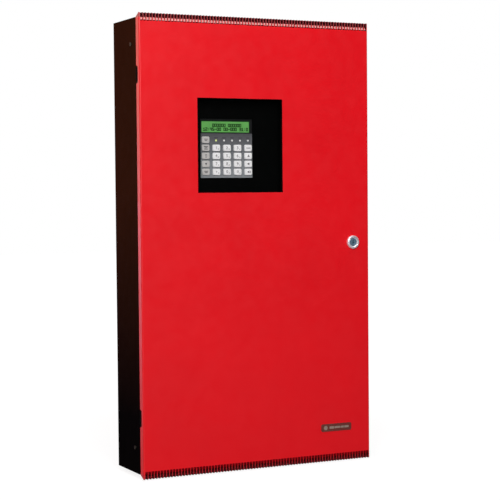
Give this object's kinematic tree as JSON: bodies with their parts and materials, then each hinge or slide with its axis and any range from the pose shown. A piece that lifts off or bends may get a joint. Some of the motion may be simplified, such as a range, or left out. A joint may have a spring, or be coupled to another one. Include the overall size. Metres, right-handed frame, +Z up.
{
  "type": "fire alarm control panel",
  "caption": "Wall-mounted steel cabinet with a hinged, key-locked red door, a window over a display and push keys, and the alarm electronics with standby batteries inside.",
  "frame": {"origin": "centre of the back face, which is also the centre of the four wall fixing holes", "axes": "+Z up along the cabinet's height, +X to the right as seen from the front, -Y out of the wall towards the user"},
  "size_m": [0.3968, 0.1098, 0.7],
  "materials": {
    "black_paint": "satin powder coat",
    "red_paint": "semi-gloss powder coat",
    "dark_steel": "satin black",
    "zinc_steel": "zinc plated",
    "chrome": "polished",
    "brass": "plain",
    "circuit_board": "solder mask",
    "terminal_green": "moulded",
    "relay_blue": "moulded",
    "capacitor_sleeve": "sleeved",
    "chip_black": "moulded",
    "core_steel": "laminated",
    "winding_tape": "taped winding",
    "battery_case": "moulded",
    "wire_insulation": "insulated wire",
    "panel_black": "matt powder coat",
    "frame_black": "moulded",
    "fascia_grey": "textured overlay",
    "lcd_green": "lit display",
    "lamp": "clear lens",
    "ribbon": "flat cable",
    "key_white": "moulded",
    "key_grey": "moulded",
    "clear_pane": "clear polycarbonate",
    "nameplate": "printed plate"
  },
  "bodies": {
    "cabinet": {"backbox": "black_paint", "box_hinge_leaves": "dark_steel", "hinge_pins": "zinc_steel", "side_screws": "dark_steel", "chassis": "zinc_steel", "board_standoffs": "brass", "main_board": "circuit_board", "terminal_blocks": "terminal_green", "relays": "relay_blue", "capacitors": "capacitor_sleeve", "chips": "chip_black", "transformer_core": "core_steel", "transformer_coil": "winding_tape", "battery_left": "battery_case", "battery_right": "battery_case", "battery_strap": "dark_steel", "battery_leads": "wire_insulation", "panel_brackets": "zinc_steel", "dress_panel": "panel_black", "panel_screws": "zinc_steel", "display_frame": "frame_black", "display_board": "circuit_board", "keypad_fascia": "fascia_grey", "lcd_glass": "lcd_green", "status_lamps": "lamp", "ribbon_cable": "ribbon"},
    "door_assembly": {"door": "red_paint", "door_hinge_leaves": "dark_steel", "window_pane": "clear_pane", "window_retainer": "zinc_steel", "window_fasteners": "zinc_steel", "vent_baffles": "zinc_steel", "nameplate": "nameplate", "lock_body": "chrome", "lock_nut": "zinc_steel"},
    "lock_core": {"lock_plug": "chrome", "lock_cam": "zinc_steel", "cam_screw": "zinc_steel"},
    "key_r1c1_body": {"key_r1c1": "key_grey"},
    "key_r2c1_body": {"key_r2c1": "key_grey"},
    "key_r2c2_body": {"key_r2c2": "key_white"},
    "key_r2c3_body": {"key_r2c3": "key_white"},
    "key_r2c4_body": {"key_r2c4": "key_white"},
    "key_r2c5_body": {"key_r2c5": "key_white"},
    "key_r3c1_body": {"key_r3c1": "key_grey"},
    "key_r3c2_body": {"key_r3c2": "key_white"},
    "key_r3c3_body": {"key_r3c3": "key_white"},
    "key_r3c4_body": {"key_r3c4": "key_white"},
    "key_r3c5_body": {"key_r3c5": "key_white"},
    "key_r4c1_body": {"key_r4c1": "key_grey"},
    "key_r4c2_body": {"key_r4c2": "key_white"},
    "key_r4c3_body": {"key_r4c3": "key_white"},
    "key_r4c4_body": {"key_r4c4": "key_white"},
    "key_r4c5_body": {"key_r4c5": "key_white"},
    "key_r5c1_body": {"key_r5c1": "key_grey"},
    "key_r5c2_body": {"key_r5c2": "key_white"},
    "key_r5c3_body": {"key_r5c3": "key_white"},
    "key_r5c4_body": {"key_r5c4": "key_white"},
    "key_r5c5_body": {"key_r5c5": "key_white"}
  },
  "joints": [
    {"name": "door_hinge", "type": "hinge", "parent": "cabinet", "child": "door_assembly", "pos_m": [-0.1955, -0.0965, 0], "axis": [0, 0, -1], "range_deg": [0, 120]},
    {"name": "lock_turn", "type": "hinge", "parent": "door_assembly", "child": "lock_core", "pos_m": [0.1675, -0.1, 0], "axis": [0, 1, 0], "range_deg": [0, 90]},
    {"name": "press_r1c1", "type": "slide", "parent": "cabinet", "child": "key_r1c1_body", "axis": [0, 1, 0], "range_m": [0, 0.0008], "stiffness_N_per_m": 600, "springref_m": -0.0004},
    {"name": "press_r2c1", "type": "slide", "parent": "cabinet", "child": "key_r2c1_body", "axis": [0, 1, 0], "range_m": [0, 0.0008], "stiffness_N_per_m": 600, "springref_m": -0.0004},
    {"name": "press_r2c2", "type": "slide", "parent": "cabinet", "child": "key_r2c2_body", "axis": [0, 1, 0], "range_m": [0, 0.0008], "stiffness_N_per_m": 600, "springref_m": -0.0004},
    {"name": "press_r2c3", "type": "slide", "parent": "cabinet", "child": "key_r2c3_body", "axis": [0, 1, 0], "range_m": [0, 0.0008], "stiffness_N_per_m": 600, "springref_m": -0.0004},
    {"name": "press_r2c4", "type": "slide", "parent": "cabinet", "child": "key_r2c4_body", "axis": [0, 1, 0], "range_m": [0, 0.0008], "stiffness_N_per_m": 600, "springref_m": -0.0004},
    {"name": "press_r2c5", "type": "slide", "parent": "cabinet", "child": "key_r2c5_body", "axis": [0, 1, 0], "range_m": [0, 0.0008], "stiffness_N_per_m": 600, "springref_m": -0.0004},
    {"name": "press_r3c1", "type": "slide", "parent": "cabinet", "child": "key_r3c1_body", "axis": [0, 1, 0], "range_m": [0, 0.0008], "stiffness_N_per_m": 600, "springref_m": -0.0004},
    {"name": "press_r3c2", "type": "slide", "parent": "cabinet", "child": "key_r3c2_body", "axis": [0, 1, 0], "range_m": [0, 0.0008], "stiffness_N_per_m": 600, "springref_m": -0.0004},
    {"name": "press_r3c3", "type": "slide", "parent": "cabinet", "child": "key_r3c3_body", "axis": [0, 1, 0], "range_m": [0, 0.0008], "stiffness_N_per_m": 600, "springref_m": -0.0004},
    {"name": "press_r3c4", "type": "slide", "parent": "cabinet", "child": "key_r3c4_body", "axis": [0, 1, 0], "range_m": [0, 0.0008], "stiffness_N_per_m": 600, "springref_m": -0.0004},
    {"name": "press_r3c5", "type": "slide", "parent": "cabinet", "child": "key_r3c5_body", "axis": [0, 1, 0], "range_m": [0, 0.0008], "stiffness_N_per_m": 600, "springref_m": -0.0004},
    {"name": "press_r4c1", "type": "slide", "parent": "cabinet", "child": "key_r4c1_body", "axis": [0, 1, 0], "range_m": [0, 0.0008], "stiffness_N_per_m": 600, "springref_m": -0.0004},
    {"name": "press_r4c2", "type": "slide", "parent": "cabinet", "child": "key_r4c2_body", "axis": [0, 1, 0], "range_m": [0, 0.0008], "stiffness_N_per_m": 600, "springref_m": -0.0004},
    {"name": "press_r4c3", "type": "slide", "parent": "cabinet", "child": "key_r4c3_body", "axis": [0, 1, 0], "range_m": [0, 0.0008], "stiffness_N_per_m": 600, "springref_m": -0.0004},
    {"name": "press_r4c4", "type": "slide", "parent": "cabinet", "child": "key_r4c4_body", "axis": [0, 1, 0], "range_m": [0, 0.0008], "stiffness_N_per_m": 600, "springref_m": -0.0004},
    {"name": "press_r4c5", "type": "slide", "parent": "cabinet", "child": "key_r4c5_body", "axis": [0, 1, 0], "range_m": [0, 0.0008], "stiffness_N_per_m": 600, "springref_m": -0.0004},
    {"name": "press_r5c1", "type": "slide", "parent": "cabinet", "child": "key_r5c1_body", "axis": [0, 1, 0], "range_m": [0, 0.0008], "stiffness_N_per_m": 600, "springref_m": -0.0004},
    {"name": "press_r5c2", "type": "slide", "parent": "cabinet", "child": "key_r5c2_body", "axis": [0, 1, 0], "range_m": [0, 0.0008], "stiffness_N_per_m": 600, "springref_m": -0.0004},
    {"name": "press_r5c3", "type": "slide", "parent": "cabinet", "child": "key_r5c3_body", "axis": [0, 1, 0], "range_m": [0, 0.0008], "stiffness_N_per_m": 600, "springref_m": -0.0004},
    {"name": "press_r5c4", "type": "slide", "parent": "cabinet", "child": "key_r5c4_body", "axis": [0, 1, 0], "range_m": [0, 0.0008], "stiffness_N_per_m": 600, "springref_m": -0.0004},
    {"name": "press_r5c5", "type": "slide", "parent": "cabinet", "child": "key_r5c5_body", "axis": [0, 1, 0], "range_m": [0, 0.0008], "stiffness_N_per_m": 600, "springref_m": -0.0004}
  ]
}
